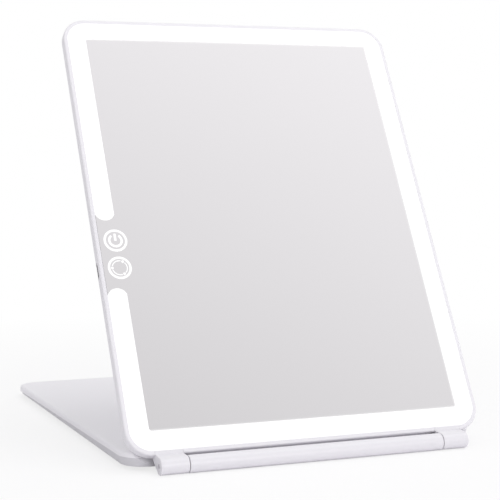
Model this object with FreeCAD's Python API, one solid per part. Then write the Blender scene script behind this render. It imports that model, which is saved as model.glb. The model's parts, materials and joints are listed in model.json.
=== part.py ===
import FreeCAD, Part
import math
import os
from FreeCAD import Vector

# Lighted makeup mirror: a slim lit mirror panel hinged at its lower edge to a flat base.
# Each half is drawn lying flat with the hinge axis along X through the origin: X to the
# viewer's right, Y away from the hinge, Z out of the glass on the panel and up on the base.
# The panel is then turned about the axis to lean on the base's front wall.
# Millimetres and degrees.

# Pose
LEAN_ANGLE = 60.9            # panel above the table, measured from behind

# Panel outline and its place against the hinge axis
PANEL_WIDTH = 195.0
PANEL_LENGTH = 251.5
PANEL_THICKNESS = 7.2
PANEL_CORNER = 13.5
EDGE_DROP = 6.5              # hinge axis below the panel's lower edge
FACE_SETBACK = 2.6           # glass face behind the hinge axis

# Front frame
LIP_WIDTH = 2.2              # white rim seen round the light band
FRAME_DEPTH = 2.6
FRAME_EDGE_ROUND = 0.8
LEDGE_WIDTH = 1.0            # step under the rim that carries the light band

# Glass and light band
BORDER = 12.5                # panel edge to silvered mirror
MIRROR_CORNER = 1.5
GLASS_THICKNESS = 1.4
BREAK_BELOW = 11.3           # light band's lower tip under the mode mark's centre
BREAK_ABOVE = 11.6           # light band's upper tip above the power mark's centre
BREAK_RISE = 3.5             # roundness of the light band's ends
GLASS_GAP = 0.1

# Touch marks, printed on the glass
MARK_INSET = 10.9            # mark centres in from the panel's left edge
MODE_MARK_UP = 100.2         # lower mark's centre above the panel's lower edge
MARK_PITCH = 15.5            # from mark to mark
MARK_RADIUS = 6.3
MARK_LINE = 1.25
MARK_INK = 0.06
POWER_ARC_RADIUS = 3.9
POWER_ARC_GAP = 70.0
POWER_ARC_OPENING = 90.0     # direction of the arc's gap
POWER_BAR_LENGTH = 4.0
MODE_ARC_RADIUS = 4.2
MODE_ARC_LINE = 0.5
MODE_ARC_GAP = 16.0
MODE_DOT_RADIUS = 0.7
MODE_DOTS = 3
MODE_DOT_START = 60.0        # direction of the first dot

# Layers behind the glass
TAPE_THICKNESS = 0.2
TAPE_MARGIN = 1.5
PAD_RADIUS = 4.5
CARRIER_THICKNESS = 1.0
CARRIER_OVERLAP = 0.5
CHANNEL_DEPTH = 1.2          # light channel, carrier down to reflector floor
REFLECTOR_FLOOR = 0.6
REFLECTOR_WALL = 1.0
STRIP_WIDTH = 5.0
STRIP_THICKNESS = 0.2
STRIP_TAIL = 3.5
LED_SIZE = 2.8
LED_HEIGHT = 0.7
LED_PITCH = 13.0

# Rear shell
SHELL_FLOOR = 1.4
SHELL_WALL = 2.0
SHELL_EDGE_ROUND = 3.0
SHELL_INNER_ROUND = 1.0
RIB_INSET = 6.0
RIB_WIDTH = 2.0

# Control board, socket and battery
BOARD_THICKNESS = 0.8
BOARD_WIDTH = 20.0
BOARD_MARGIN = 2.2           # board ends inside the light band's break
BOARD_EDGE_GAP = 1.5         # board to shell wall
POST_RADIUS = 2.0
CHIP_HEIGHT = 1.0
CHIP_SIZES = (4.0, 5.0, 3.0) # touch controller, charger and coil, from low to high
SOCKET_WIDTH = 8.94
SOCKET_HEIGHT = 3.2
SOCKET_LENGTH = 7.35
SOCKET_WALL = 0.3
SOCKET_RECESS = 0.6
SOCKET_TONGUE = (4.6, 6.7, 0.7)
SOCKET_GAP = 0.1
BATTERY_WIDTH = 60.0
BATTERY_LENGTH = 90.0
BATTERY_THICKNESS = 2.6
BATTERY_ROUND = 0.8
BATTERY_Y = 60.0
LEAD_RADIUS = 0.5
LEAD_SPACING = 2.0
LEAD_BEND = 6.0

# Hinge
BARREL_RADIUS = 4.4
BARREL_WALL = 1.1
KNUCKLE_RADIUS = 4.3
KNUCKLE_WIDTH = 14.4
KNUCKLE_GAP = 0.4            # end play each side of the barrel
KNUCKLE_END_ROUND = 0.5
BARREL_END_ROUND = 0.25
TONGUE_LENGTH = 14.0
TONGUE_SIDE = 1.0
NOTCH_GAP = 0.1
PIN_RADIUS = 2.0
PIN_SEAT = 12.5              # pin length held in the knuckle
PIN_SEAT_GAP = 0.02
END_HOLE_RADIUS = 1.2        # hole at the knuckle's outer end, for driving the pin out
SLEEVE_LENGTH = 16.0
SLEEVE_CLEARANCE = 0.04      # running fit of pin in sleeve
SPRING_THICKNESS = 0.4
SPRING_DISH = 0.3
SPRINGS_EACH = 2
SPRING_GAP = 0.3             # nearest disc spring to the sleeve
NUT_LENGTH = 2.5
NUT_FLATS = 5.0
NUT_SIDES = 6
LEAF_LENGTH = 30.0           # barrel leaf, hinge axis to its hidden end
LEAF_THICKNESS = 1.4
LEAF_SIDE = 3.0

# Base, heights above the table
BASE_SIDE_INSET = 0.1        # base's sides inside the panel's
BASE_BACK = 259.0            # hinge axis to the base's back edge
BASE_CORNER = 14.0
BASE_LIFT = 2.1              # underside
BASE_FRONT_HEIGHT = 9.5      # top at the front and at the back
BASE_BACK_HEIGHT = 7.0
PARTING_FRONT = 6.6          # joint of the two shells at the front and at the back
PARTING_BACK = 3.6
LOWER_INSET = 0.3            # bottom shell inside the top shell's wall
UNDERCUT = 0.9               # bottom shell's walls draw in towards the underside
STOP_GAP = 0.35              # panel's back to the base's front wall when it leans on its stop
BASE_FLOOR = 1.4
BASE_TOP_WALL = 1.4
BASE_SIDE_WALL = 1.8
BASE_EDGE_ROUND = 1.4
BOSS_RADIUS = 2.6
FOOT_RADIUS = 5.0
FOOT_INSET = 12.0            # foot centres in from the base's back edge
FOOT_SPACING = 140.0
CLOSED_GAP = 0.3             # glass to feet when the mirror is shut

# Screws
SCREW_RADIUS = 0.8
SCREW_HOLE_GAP = 0.05
SCREW_HEAD_RADIUS = 1.8
SCREW_HEAD_DEPTH = 0.9
SCREW_LENGTH = 3.0
TONGUE_SCREW_SPACING = 8.0
LEAF_SCREW_SPACING = 36.0
LEAF_SCREWS = 4
BASE_SCREW_INSET = 13.0

# Worked out from the above
HALF_WIDTH = PANEL_WIDTH / 2
PANEL_LOW = EDGE_DROP
PANEL_HIGH = EDGE_DROP + PANEL_LENGTH
FACE = -FACE_SETBACK
MIRROR_LEFT = -HALF_WIDTH + BORDER
MARK_X = -HALF_WIDTH + MARK_INSET
BASE_WIDTH = PANEL_WIDTH - 2 * BASE_SIDE_INSET
BARREL_BORE = BARREL_RADIUS - BARREL_WALL
KNUCKLE_OUT = HALF_WIDTH - PANEL_CORNER
KNUCKLE_IN = KNUCKLE_OUT - KNUCKLE_WIDTH
BARREL_HALF = KNUCKLE_IN - KNUCKLE_GAP
TAPE_DEPTH = GLASS_THICKNESS
CARRIER_DEPTH = TAPE_DEPTH + TAPE_THICKNESS
CHANNEL_TOP = CARRIER_DEPTH + CARRIER_THICKNESS
REFLECTOR_DEPTH = CHANNEL_TOP + CHANNEL_DEPTH
REFLECTOR_BACK = REFLECTOR_DEPTH + REFLECTOR_FLOOR
FLOOR_DEPTH = PANEL_THICKNESS - SHELL_FLOOR
CHANNEL_INSET = LIP_WIDTH + LEDGE_WIDTH + 2 * GLASS_GAP
CHANNEL_INNER = BORDER + REFLECTOR_WALL + CARRIER_OVERLAP
MODE_MARK_Y = PANEL_LOW + MODE_MARK_UP
POWER_MARK_Y = MODE_MARK_Y + MARK_PITCH
BREAK_LOW = MODE_MARK_Y - BREAK_BELOW
BREAK_HIGH = POWER_MARK_Y + BREAK_ABOVE
BOARD_DEPTH = REFLECTOR_DEPTH
BOARD_BACK = BOARD_DEPTH + BOARD_THICKNESS
BOARD_LOW = BREAK_LOW + BOARD_MARGIN
BOARD_HIGH = BREAK_HIGH - BOARD_MARGIN
BOARD_LEFT = -HALF_WIDTH + SHELL_WALL + BOARD_EDGE_GAP
BOARD_RIGHT = BOARD_LEFT + BOARD_WIDTH
SOCKET_Y = MODE_MARK_Y
SOCKET_MIDDLE = FLOOR_DEPTH - SOCKET_HEIGHT / 2 - SOCKET_GAP
TABLE = -BARREL_RADIUS
BASE_HALF = BASE_WIDTH / 2
BASE_LOW = TABLE + BASE_LIFT
BASE_HIGH = TABLE + BASE_FRONT_HEIGHT
FLOOR_TOP = BASE_LOW + BASE_FLOOR
LEAF_TOP = FLOOR_TOP + LEAF_THICKNESS
FOOT_Y = BASE_BACK - FOOT_INSET
LEFT_RIGHT = (("left", -1), ("right", 1))


# Plain shapes
def block(x0, x1, y0, y1, z0, z1):
    corner = Vector(min(x0, x1), min(y0, y1), min(z0, z1))
    return Part.makeBox(abs(x1 - x0), abs(y1 - y0), abs(z1 - z0), corner)


def rod_x(radius, x0, x1, y=0.0, z=0.0):
    return Part.makeCylinder(radius, abs(x1 - x0), Vector(min(x0, x1), y, z), Vector(1, 0, 0))


def rod_z(radius, x, y, z0, z1):
    return Part.makeCylinder(radius, abs(z1 - z0), Vector(x, y, min(z0, z1)))


def rounded_outline(half, y0, y1, corner, z0):
    """Level rounded rectangle, centred on X = 0."""
    left, right = -half, half
    turn = corner * (1 - math.sqrt(0.5))
    corners = []
    for x, y, sx, sy in ((right, y0, -1, 1), (right, y1, -1, -1), (left, y1, 1, -1), (left, y0, 1, 1)):
        on_end = Vector(x + sx * corner, y, z0)
        on_side = Vector(x, y + sy * corner, z0)
        middle = Vector(x + sx * turn, y + sy * turn, z0)
        corners.append((on_end, middle, on_side) if sx * sy < 0 else (on_side, middle, on_end))
    edges = []
    for index, (start, middle, end) in enumerate(corners):
        edges.append(Part.Arc(start, middle, end).toShape())
        edges.append(Part.LineSegment(end, corners[(index + 1) % len(corners)][0]).toShape())
    return Part.Wire(edges)


def rounded_prism(half, y0, y1, corner, z0, z1):
    """Upright prism of a rounded rectangle."""
    return Part.Face(rounded_outline(half, y0, y1, corner, z0)).extrude(Vector(0, 0, z1 - z0))


def level_edges(shape, z):
    """Edges that lie in one level plane."""
    return [e for e in shape.Edges if abs(e.BoundBox.ZMin - z) < 1e-4 and abs(e.BoundBox.ZMax - z) < 1e-4]


def end_edges(shape, x):
    """Edges that lie in one plane across X."""
    return [e for e in shape.Edges if abs(e.BoundBox.XMin - x) < 1e-4 and abs(e.BoundBox.XMax - x) < 1e-4]


def turned_profile(points, x0, x1):
    """Prism along X of a closed outline of (y, z) points."""
    corners = [Vector(x0, y, z) for y, z in points]
    return Part.Face(Part.makePolygon(corners + corners[:1])).extrude(Vector(x1 - x0, 0, 0))


def arc_bar(x, y, radius, line, start, end, z0, z1):
    """Flat bar bent along an arc, angles in degrees."""
    centre = Vector(x, y, z0)
    inner, outer = radius - line, radius
    angles = [math.radians(angle) for angle in (start, (start + end) / 2, end)]
    first, middle, last = [Vector(math.cos(angle), math.sin(angle), 0) for angle in angles]
    edges = [
        Part.Arc(centre + first * outer, centre + middle * outer, centre + last * outer).toShape(),
        Part.LineSegment(centre + last * outer, centre + last * inner).toShape(),
        Part.Arc(centre + last * inner, centre + middle * inner, centre + first * inner).toShape(),
        Part.LineSegment(centre + first * inner, centre + first * outer).toShape(),
    ]
    return Part.Face(Part.Wire(edges)).extrude(Vector(0, 0, z1 - z0))


def bent_tube(points, radius, bend):
    """Round tube along straight runs joined by tangent arcs."""
    edges = []
    start = points[0]
    for before, corner, after in zip(points, points[1:], points[2:]):
        back = (before - corner).normalize()
        ahead = (after - corner).normalize()
        half_turn = back.getAngle(ahead) / 2
        reach = bend / math.tan(half_turn)
        inward = (back + ahead).normalize()
        middle = corner + inward * (bend / math.sin(half_turn) - bend)
        edges.append(Part.LineSegment(start, corner + back * reach).toShape())
        edges.append(Part.Arc(corner + back * reach, middle, corner + ahead * reach).toShape())
        start = corner + ahead * reach
    edges.append(Part.LineSegment(start, points[-1]).toShape())
    path = Part.Wire(edges)
    section = Part.Wire(Part.makeCircle(radius, points[0], points[1] - points[0]))
    return path.makePipeShell([section], True, False)


def screw(x, y, head, length, way):
    """Countersunk screw with its head flush at height head, pointing up (1) or down (-1)."""
    axis = Vector(0, 0, way)
    place = Vector(x, y, head)
    cone = Part.makeCone(SCREW_HEAD_RADIUS, SCREW_RADIUS, SCREW_HEAD_DEPTH, place, axis)
    shank = Part.makeCylinder(SCREW_RADIUS, length, place, axis)
    slot = SCREW_RADIUS / 2
    cross = block(x - SCREW_RADIUS, x + SCREW_RADIUS, y - slot / 2, y + slot / 2, head, head + way * slot)
    turn = cross.copy()
    turn.rotate(place, Vector(0, 0, 1), 90)
    return cone.fuse(shank).cut(cross.fuse(turn)).removeSplitter()


def screw_hole(x, y, head, length, way):
    """Countersunk clearance hole for the screw above."""
    axis = Vector(0, 0, way)
    place = Vector(x, y, head)
    wide = SCREW_HEAD_RADIUS + SCREW_HOLE_GAP
    narrow = SCREW_RADIUS + SCREW_HOLE_GAP
    cone = Part.makeCone(wide, narrow, SCREW_HEAD_DEPTH, place, axis)
    return cone.fuse(Part.makeCylinder(narrow, length + SCREW_HOLE_GAP, place, axis))


# Panel
def at_depth(depth):
    """Height of a layer that lies this far behind the glass face."""
    return FACE - depth


def panel_prism(inset, depth0, depth1, corner=None):
    radius = max(PANEL_CORNER - inset, MIRROR_CORNER) if corner is None else corner
    return rounded_prism(HALF_WIDTH - inset, PANEL_LOW + inset, PANEL_HIGH - inset, radius,
                         at_depth(depth1), at_depth(depth0))


def panel_ring(outer, inner, depth0, depth1):
    return panel_prism(outer, depth0, depth1).cut(panel_prism(inner, depth0, depth1))


def break_block(low, high, depth0, depth1):
    """Covers the left border between two heights, where the light band is broken."""
    return block(-HALF_WIDTH, MIRROR_LEFT + BORDER, low, high, at_depth(depth0), at_depth(depth1))


def break_tab(grow, depth0, depth1):
    """The stretch of mirror that runs out to the rim between the light band's round ends."""
    left = -HALF_WIDTH + LIP_WIDTH + GLASS_GAP
    right = MIRROR_LEFT + GLASS_GAP
    middle = (left + right) / 2
    z = at_depth(depth1)
    low_left = Vector(left, BREAK_LOW - BREAK_RISE, z)
    low_right = Vector(right, BREAK_LOW - BREAK_RISE, z)
    high_right = Vector(right, BREAK_HIGH + BREAK_RISE, z)
    high_left = Vector(left, BREAK_HIGH + BREAK_RISE, z)
    edges = [
        Part.Arc(low_left, Vector(middle, BREAK_LOW, z), low_right).toShape(),
        Part.LineSegment(low_right, high_right).toShape(),
        Part.Arc(high_right, Vector(middle, BREAK_HIGH, z), high_left).toShape(),
        Part.LineSegment(high_left, low_left).toShape(),
    ]
    face = Part.Face(Part.Wire(edges))
    if grow > 0:
        face = face.makeOffset2D(grow)
    return face.extrude(Vector(0, 0, depth1 - depth0))


def socket_prism(grow, x0, x1):
    """Flat-sided oval of the charging socket, along X."""
    half = SOCKET_HEIGHT / 2 + grow
    reach = SOCKET_WIDTH / 2 - SOCKET_HEIGHT / 2
    z = at_depth(SOCKET_MIDDLE)
    ends = [rod_x(half, x0, x1, SOCKET_Y + side * reach, z) for side in (-1, 1)]
    core = block(x0, x1, SOCKET_Y - reach, SOCKET_Y + reach, z - half, z + half)
    return core.fuse(ends).removeSplitter()


def knuckle_notches(depth0, depth1, reach):
    """Openings in the panel's lower wall for the hinge knuckles."""
    parts = []
    for _, side in LEFT_RIGHT:
        parts.append(block(side * (KNUCKLE_IN - NOTCH_GAP), side * (KNUCKLE_OUT + NOTCH_GAP),
                           0, PANEL_LOW + reach + NOTCH_GAP, at_depth(depth0), at_depth(depth1)))
    return parts


def tongue_places():
    """Screw centres of both knuckle tongues."""
    y = PANEL_LOW + LIP_WIDTH + TONGUE_LENGTH / 2
    middle = (KNUCKLE_IN + KNUCKLE_OUT) / 2
    half = TONGUE_SCREW_SPACING / 2
    return [(side * middle + offset, y) for _, side in LEFT_RIGHT for offset in (-half, half)]


def front_frame():
    body = panel_prism(0, 0, FRAME_DEPTH)
    body = body.makeFillet(FRAME_EDGE_ROUND, level_edges(body, FACE))
    body = body.cut(panel_prism(LIP_WIDTH, 0, GLASS_THICKNESS))
    body = body.cut(panel_prism(LIP_WIDTH + LEDGE_WIDTH, GLASS_THICKNESS, FRAME_DEPTH))
    body = body.cut(knuckle_notches(0, FRAME_DEPTH, LIP_WIDTH))
    return body.cut(socket_prism(SOCKET_GAP, -HALF_WIDTH, -HALF_WIDTH + BORDER))


def rear_shell():
    body = panel_prism(0, FRAME_DEPTH, PANEL_THICKNESS)
    body = body.makeFillet(SHELL_EDGE_ROUND, level_edges(body, at_depth(PANEL_THICKNESS)))
    hollow = panel_prism(SHELL_WALL, FRAME_DEPTH, FLOOR_DEPTH)
    hollow = hollow.makeFillet(SHELL_INNER_ROUND, level_edges(hollow, at_depth(FLOOR_DEPTH)))
    body = body.cut(hollow)
    rib = panel_ring(RIB_INSET, RIB_INSET + RIB_WIDTH, REFLECTOR_BACK, FLOOR_DEPTH)
    rib = rib.cut(break_block(BREAK_LOW, BREAK_HIGH, REFLECTOR_BACK, FLOOR_DEPTH))
    rib = rib.cut(knuckle_notches(REFLECTOR_BACK, FLOOR_DEPTH, RIB_INSET + RIB_WIDTH))
    posts = []
    for x in (BOARD_LEFT + 2 * POST_RADIUS, BOARD_RIGHT - 2 * POST_RADIUS):
        for y in (BOARD_LOW + 2 * POST_RADIUS, BOARD_HIGH - 2 * POST_RADIUS):
            posts.append(rod_z(POST_RADIUS, x, y, at_depth(FLOOR_DEPTH), at_depth(BOARD_BACK)))
    body = body.fuse([rib] + posts)
    body = body.cut(knuckle_notches(FRAME_DEPTH, FLOOR_DEPTH, SHELL_WALL + SHELL_INNER_ROUND))
    body = body.cut(socket_prism(SOCKET_GAP, -HALF_WIDTH, -HALF_WIDTH + BORDER))
    back = at_depth(PANEL_THICKNESS)
    return body.cut([screw_hole(x, y, back, SHELL_FLOOR, 1) for x, y in tongue_places()])


def mirror_glass():
    mirror = panel_prism(BORDER, 0, GLASS_THICKNESS, MIRROR_CORNER)
    return mirror.fuse(break_tab(0, 0, GLASS_THICKNESS)).removeSplitter()


def light_diffuser():
    opening = panel_prism(BORDER - GLASS_GAP, 0, GLASS_THICKNESS, MIRROR_CORNER + GLASS_GAP)
    band = panel_prism(LIP_WIDTH + GLASS_GAP, 0, GLASS_THICKNESS).cut(opening)
    return band.cut(break_tab(GLASS_GAP, 0, GLASS_THICKNESS))


def touch_pads():
    z0, z1 = at_depth(CARRIER_DEPTH), at_depth(TAPE_DEPTH)
    return [rod_z(PAD_RADIUS, MARK_X, y, z0, z1) for y in (POWER_MARK_Y, MODE_MARK_Y)]


def mirror_tape():
    sheet = panel_prism(BORDER + TAPE_MARGIN, TAPE_DEPTH, CARRIER_DEPTH)
    z0, z1 = at_depth(CARRIER_DEPTH), at_depth(TAPE_DEPTH)
    room = PAD_RADIUS + TAPE_MARGIN
    return sheet.cut([rod_z(room, MARK_X, y, z0, z1) for y in (POWER_MARK_Y, MODE_MARK_Y)])


def mirror_carrier():
    plate = panel_prism(BORDER - CARRIER_OVERLAP, CARRIER_DEPTH, CHANNEL_TOP)
    tab = block(-HALF_WIDTH + CHANNEL_INSET, MIRROR_LEFT + BORDER, BOARD_LOW, BOARD_HIGH,
                at_depth(CARRIER_DEPTH), at_depth(CHANNEL_TOP))
    room = block(-HALF_WIDTH, -HALF_WIDTH + SOCKET_RECESS + SOCKET_LENGTH + SOCKET_GAP,
                 SOCKET_Y - SOCKET_WIDTH / 2 - SOCKET_GAP, SOCKET_Y + SOCKET_WIDTH / 2 + SOCKET_GAP,
                 at_depth(CARRIER_DEPTH), at_depth(CHANNEL_TOP))
    return plate.fuse(tab).removeSplitter().cut(room)


def light_reflector():
    floor = panel_ring(CHANNEL_INSET, CHANNEL_INNER, REFLECTOR_DEPTH, REFLECTOR_BACK)
    wall = panel_ring(CHANNEL_INNER - REFLECTOR_WALL, CHANNEL_INNER, CHANNEL_TOP, REFLECTOR_DEPTH)
    ring = floor.fuse(wall).removeSplitter()
    return ring.cut(break_block(BREAK_LOW, BREAK_HIGH, CHANNEL_TOP, REFLECTOR_BACK))


def strip_inset():
    """Inset of the LED strip's outer edge, which centres it in its channel."""
    return (CHANNEL_INSET + CHANNEL_INNER - REFLECTOR_WALL - STRIP_WIDTH) / 2


def led_strip():
    top = REFLECTOR_DEPTH - STRIP_THICKNESS
    inset = strip_inset()
    ring = panel_ring(inset, inset + STRIP_WIDTH, top, REFLECTOR_DEPTH)
    gap = break_block(BOARD_LOW + STRIP_TAIL, BOARD_HIGH - STRIP_TAIL, top, REFLECTOR_DEPTH)
    return ring.cut(gap)


def led_row(start, end):
    """Evenly spaced centres from start to end, about one pitch apart."""
    count = max(2, round((end - start) / LED_PITCH) + 1)
    return [start + (end - start) * i / (count - 1) for i in range(count)]


def leds():
    inset = strip_inset() + STRIP_WIDTH / 2
    half = HALF_WIDTH - inset
    low, high = PANEL_LOW + inset, PANEL_HIGH - inset
    clear = PANEL_CORNER - inset + LED_SIZE
    centres = [(x, y) for y in (low, high) for x in led_row(-half + clear, half - clear)]
    centres += [(half, y) for y in led_row(low + clear, high - clear)]
    centres += [(-half, y) for y in led_row(low + clear, BREAK_LOW - LED_SIZE)]
    centres += [(-half, y) for y in led_row(BREAK_HIGH + LED_SIZE, high - clear)]
    base = REFLECTOR_DEPTH - STRIP_THICKNESS
    reach = LED_SIZE / 2
    return [block(x - reach, x + reach, y - reach, y + reach, at_depth(base), at_depth(base - LED_HEIGHT))
            for x, y in centres]


def control_board():
    board = block(BOARD_LEFT, BOARD_RIGHT, BOARD_LOW, BOARD_HIGH, at_depth(BOARD_DEPTH), at_depth(BOARD_BACK))
    room = block(-HALF_WIDTH, -HALF_WIDTH + SOCKET_RECESS + SOCKET_LENGTH + SOCKET_GAP,
                 SOCKET_Y - SOCKET_WIDTH / 2 - SOCKET_GAP, SOCKET_Y + SOCKET_WIDTH / 2 + SOCKET_GAP,
                 at_depth(BOARD_DEPTH), at_depth(BOARD_BACK))
    return board.cut(room)


def board_chips():
    """Square chips spread evenly along the middle of the board's right half."""
    z0, z1 = at_depth(BOARD_DEPTH), at_depth(BOARD_DEPTH - CHIP_HEIGHT)
    x = BOARD_RIGHT - BOARD_WIDTH / 4
    pitch = (BOARD_HIGH - BOARD_LOW) / (len(CHIP_SIZES) + 1)
    chips = []
    for index, size in enumerate(CHIP_SIZES):
        y = BOARD_LOW + pitch * (index + 1)
        chips.append(block(x - size / 2, x + size / 2, y - size / 2, y + size / 2, z0, z1))
    return chips


def usb_socket():
    mouth = -HALF_WIDTH + SOCKET_RECESS
    back = mouth + SOCKET_LENGTH
    shell = socket_prism(0, mouth, back).cut(socket_prism(-SOCKET_WALL, mouth, back - SOCKET_WALL))
    length, width, thick = SOCKET_TONGUE
    z = at_depth(SOCKET_MIDDLE)
    tongue = block(back - SOCKET_WALL - length, back - SOCKET_WALL,
                   SOCKET_Y - width / 2, SOCKET_Y + width / 2, z - thick / 2, z + thick / 2)
    return shell.fuse(tongue).removeSplitter()


def battery():
    z0 = at_depth(FLOOR_DEPTH - TAPE_THICKNESS)
    half = BATTERY_WIDTH / 2
    pouch = block(-half, half, BATTERY_Y, BATTERY_Y + BATTERY_LENGTH, z0, z0 + BATTERY_THICKNESS)
    return pouch.makeFillet(BATTERY_ROUND, pouch.Edges)


def battery_tape():
    half = BATTERY_WIDTH / 2 - TAPE_MARGIN
    return block(-half, half, BATTERY_Y + TAPE_MARGIN, BATTERY_Y + BATTERY_LENGTH - TAPE_MARGIN,
                 at_depth(FLOOR_DEPTH), at_depth(FLOOR_DEPTH - TAPE_THICKNESS))


def battery_leads():
    """Two leads from the pouch to the board's right edge."""
    z = at_depth(FLOOR_DEPTH - TAPE_THICKNESS - BATTERY_THICKNESS / 2)
    start = -BATTERY_WIDTH / 2
    span = start - BOARD_RIGHT
    low = BOARD_HIGH - 2 * LEAD_SPACING
    high = BATTERY_Y + BATTERY_LENGTH - 2 * LEAD_SPACING
    leads = []
    for index in range(2):
        drop = index * LEAD_SPACING
        route = [
            Vector(start, high - drop, z),
            Vector(start - span / 3 + drop / 2, high - drop, z),
            Vector(start - 2 * span / 3 + drop / 2, low - drop, z),
            Vector(BOARD_RIGHT, low - drop, z),
        ]
        leads.append(bent_tube(route, LEAD_RADIUS, LEAD_BEND))
    return leads


def power_mark():
    z0, z1 = FACE, FACE + MARK_INK
    start = POWER_ARC_OPENING + POWER_ARC_GAP / 2
    end = POWER_ARC_OPENING - POWER_ARC_GAP / 2 + 360
    ring = rod_z(MARK_RADIUS, MARK_X, POWER_MARK_Y, z0, z1)
    ring = ring.cut(rod_z(MARK_RADIUS - MARK_LINE, MARK_X, POWER_MARK_Y, z0, z1))
    arc = arc_bar(MARK_X, POWER_MARK_Y, POWER_ARC_RADIUS, MARK_LINE, start, end, z0, z1)
    top = POWER_MARK_Y + POWER_ARC_RADIUS
    bar = block(MARK_X - MARK_LINE / 2, MARK_X + MARK_LINE / 2, top - POWER_BAR_LENGTH, top, z0, z1)
    return [ring, arc, bar]


def mode_mark():
    z0, z1 = FACE, FACE + MARK_INK
    ring = rod_z(MARK_RADIUS, MARK_X, MODE_MARK_Y, z0, z1)
    ring = ring.cut(rod_z(MARK_RADIUS - MARK_LINE, MARK_X, MODE_MARK_Y, z0, z1))
    pieces = [ring]
    step = 360 / MODE_DOTS
    middle = MODE_ARC_RADIUS - MODE_ARC_LINE / 2
    for index in range(MODE_DOTS):
        angle = MODE_DOT_START + index * step
        x = MARK_X + middle * math.cos(math.radians(angle))
        y = MODE_MARK_Y + middle * math.sin(math.radians(angle))
        pieces.append(rod_z(MODE_DOT_RADIUS, x, y, z0, z1))
        pieces.append(arc_bar(MARK_X, MODE_MARK_Y, MODE_ARC_RADIUS, MODE_ARC_LINE,
                              angle + MODE_ARC_GAP, angle + step - MODE_ARC_GAP, z0, z1))
    return pieces


# Hinge
def touch_point(y, z, side):
    """Where the tangent from (y, z) meets the knuckle's round, on the side asked for."""
    away = math.hypot(y, z)
    angle = math.atan2(z, y) + side * math.acos(KNUCKLE_RADIUS / away)
    return KNUCKLE_RADIUS * math.cos(angle), KNUCKLE_RADIUS * math.sin(angle)


def hinge_knuckle(side):
    """Round knuckle, web to the panel's lower wall and flat tongue inside the rear shell."""
    inner, outer = side * KNUCKLE_IN, side * KNUCKLE_OUT
    floor = at_depth(FLOOR_DEPTH)
    web = [touch_point(EDGE_DROP, FACE, 1), (EDGE_DROP, FACE), (EDGE_DROP, floor),
           touch_point(EDGE_DROP, floor, -1), (0, 0)]
    frame_foot = block(inner, outer, EDGE_DROP, EDGE_DROP + LIP_WIDTH, FACE, at_depth(FRAME_DEPTH))
    shell_foot = block(inner, outer, EDGE_DROP, EDGE_DROP + SHELL_WALL, at_depth(FRAME_DEPTH), floor)
    tongue = block(inner + side * TONGUE_SIDE, outer - side * TONGUE_SIDE,
                   EDGE_DROP, EDGE_DROP + LIP_WIDTH + TONGUE_LENGTH, at_depth(REFLECTOR_BACK), floor)
    body = rod_x(KNUCKLE_RADIUS, inner, outer).fuse(turned_profile(web, inner, outer)).removeSplitter()
    rim = [edge for edge in end_edges(body, outer) if edge.BoundBox.YMin < EDGE_DROP - KNUCKLE_END_ROUND]
    body = body.makeFillet(KNUCKLE_END_ROUND, rim)
    body = body.fuse([frame_foot, shell_foot, tongue]).removeSplitter()
    seat = rod_x(PIN_RADIUS + PIN_SEAT_GAP, inner, inner + side * PIN_SEAT)
    end_hole = rod_x(END_HOLE_RADIUS, inner, outer)
    reach = FLOOR_DEPTH - REFLECTOR_BACK
    holes = [rod_z(SCREW_RADIUS + SCREW_HOLE_GAP, x, y, floor, floor + reach)
             for x, y in tongue_places() if x * side > 0]
    return body.cut([seat, end_hole] + holes)


def sleeve_start():
    return BARREL_HALF - SLEEVE_LENGTH


def spring_stack():
    """Axial room that the disc springs take between sleeve and nut."""
    return SPRING_GAP + SPRINGS_EACH * (SPRING_THICKNESS + SPRING_DISH)


def hinge_pin(side):
    outer = KNUCKLE_IN + PIN_SEAT - PIN_SEAT_GAP
    inner = sleeve_start() - spring_stack() - NUT_LENGTH
    return rod_x(PIN_RADIUS, side * inner, side * outer)


def friction_sleeve(side):
    tube = rod_x(BARREL_BORE - PIN_SEAT_GAP, side * sleeve_start(), side * BARREL_HALF)
    return tube.cut(rod_x(PIN_RADIUS + SLEEVE_CLEARANCE, side * sleeve_start(), side * BARREL_HALF))


def disc_springs():
    """Dished washers that load the hinge, in opposed pairs."""
    inner = PIN_RADIUS + PIN_SEAT_GAP
    outer = NUT_FLATS / 2
    springs = []
    for _, side in LEFT_RIGHT:
        for index in range(SPRINGS_EACH):
            x0 = sleeve_start() - SPRING_GAP - (index + 1) * (SPRING_THICKNESS + SPRING_DISH)
            near, far = (0.0, SPRING_DISH) if index % 2 else (SPRING_DISH, 0.0)
            section = [
                Vector(side * (x0 + near), inner, 0),
                Vector(side * (x0 + far), outer, 0),
                Vector(side * (x0 + far + SPRING_THICKNESS), outer, 0),
                Vector(side * (x0 + near + SPRING_THICKNESS), inner, 0),
            ]
            face = Part.Face(Part.makePolygon(section + section[:1]))
            springs.append(face.revolve(Vector(0, 0, 0), Vector(1, 0, 0), 360))
    return springs


def hinge_nuts():
    """Hexagon nuts that set how stiff the hinge is."""
    nuts = []
    turn = 2 * math.pi / NUT_SIDES
    reach = NUT_FLATS / 2 / math.cos(turn / 2)
    outline = [(reach * math.cos(turn * i), reach * math.sin(turn * i)) for i in range(NUT_SIDES)]
    for _, side in LEFT_RIGHT:
        far = side * (sleeve_start() - spring_stack())
        near = far - side * NUT_LENGTH
        nuts.append(turned_profile(outline, near, far).cut(rod_x(PIN_RADIUS + PIN_SEAT_GAP, near, far)))
    return nuts


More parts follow.
